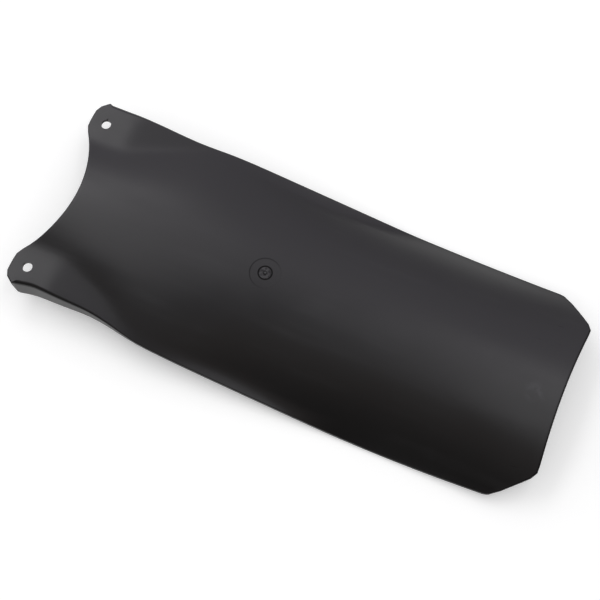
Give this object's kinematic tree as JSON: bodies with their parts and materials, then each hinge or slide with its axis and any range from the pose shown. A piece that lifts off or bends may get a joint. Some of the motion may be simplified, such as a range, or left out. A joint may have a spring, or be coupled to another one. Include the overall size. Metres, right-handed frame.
{
  "type": "shock mud flap",
  "caption": "Arched moulded sheet that shields a motorbike's rear shock, bolted by ears at its narrow end.",
  "frame": {"origin": "middle of the line between the two bolt holes, on the outer face of the ears", "axes": "+X along the flap from the ears to the free end, +Y across it, +Z out of the convex face, along the bolts"},
  "size_m": [0.3452, 0.142, 0.034],
  "materials": {
    "flap": "fine grained satin black, moulded in the colour"
  },
  "bodies": {
    "root": {"flap": "flap"}
  },
  "joints": []
}
